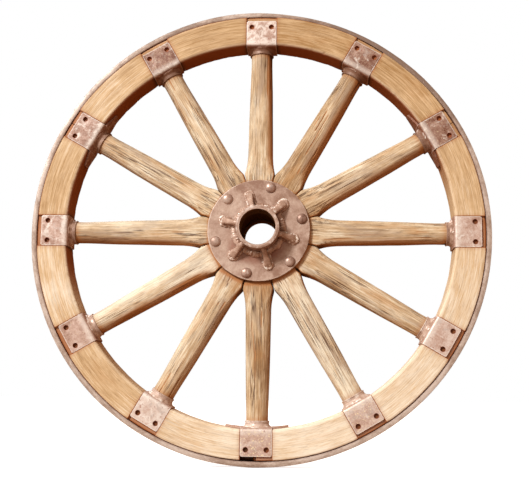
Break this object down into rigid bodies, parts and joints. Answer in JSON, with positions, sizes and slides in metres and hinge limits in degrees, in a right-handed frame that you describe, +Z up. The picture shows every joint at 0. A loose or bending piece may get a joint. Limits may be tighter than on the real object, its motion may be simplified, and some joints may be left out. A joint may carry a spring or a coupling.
{
  "type": "cart wheel",
  "caption": "Wooden spoked cart wheel with a bent-wood rim, flat steel tyre, steel rim saddles and a bolted, welded steel hub with a plain axle bore.",
  "frame": {"origin": "centre of the axle bore, at the middle of the hub tube and of the rim's width", "axes": "+Y along the axle towards the wheel's back, +Z up, +X to the right seen from the front; the domed bolt heads face -Y"},
  "size_m": [0.96, 0.168, 0.96],
  "materials": {
    "tyre_steel": "worn and dusty, light rust, dull",
    "felloe_wood": "bare golden hardwood, smooth, grain running round the rim",
    "dowel_wood": "bare hardwood",
    "spoke_wood": "weathered bare hardwood with grey-brown streaks and fine checks along the grain",
    "saddle_steel": "pitted plate, rusty in the middle and rubbed bright at the edges",
    "ferrule_steel": "rough, lightly rusted",
    "weld_metal": "lumpy weld bead, rust in the hollows and bright on the crests",
    "hub_steel": "even pinkish-brown surface rust, matt",
    "bush_iron": "dark, greasy",
    "fastener_steel": "surface rust, rubbed smooth on the domes"
  },
  "bodies": {
    "root": {"tyre": "tyre_steel", "felloe_1": "felloe_wood", "felloe_2": "felloe_wood", "felloe_3": "felloe_wood", "felloe_dowels": "dowel_wood", "spoke_01": "spoke_wood", "spoke_02": "spoke_wood", "spoke_03": "spoke_wood", "spoke_04": "spoke_wood", "spoke_05": "spoke_wood", "spoke_06": "spoke_wood", "spoke_07": "spoke_wood", "spoke_08": "spoke_wood", "spoke_09": "spoke_wood", "spoke_10": "spoke_wood", "spoke_11": "spoke_wood", "spoke_12": "spoke_wood", "saddle_01": "saddle_steel", "saddle_02": "saddle_steel", "saddle_03": "saddle_steel", "saddle_04": "saddle_steel", "saddle_05": "saddle_steel", "saddle_06": "saddle_steel", "saddle_07": "saddle_steel", "saddle_08": "saddle_steel", "saddle_09": "saddle_steel", "saddle_10": "saddle_steel", "saddle_11": "saddle_steel", "saddle_12": "saddle_steel", "ferrule_01": "ferrule_steel", "ferrule_02": "ferrule_steel", "ferrule_03": "ferrule_steel", "ferrule_04": "ferrule_steel", "ferrule_05": "ferrule_steel", "ferrule_06": "ferrule_steel", "ferrule_07": "ferrule_steel", "ferrule_08": "ferrule_steel", "ferrule_09": "ferrule_steel", "ferrule_10": "ferrule_steel", "ferrule_11": "ferrule_steel", "ferrule_12": "ferrule_steel", "ferrule_welds": "weld_metal", "hub_tube": "hub_steel", "front_bush": "bush_iron", "back_bush": "bush_iron", "front_flange": "hub_steel", "back_flange": "hub_steel", "front_gussets": "hub_steel", "back_gussets": "hub_steel", "front_hub_weld": "weld_metal", "back_hub_weld": "weld_metal", "hub_bolts": "fastener_steel", "hub_washers": "fastener_steel", "hub_nuts": "fastener_steel"}
  },
  "joints": []
}
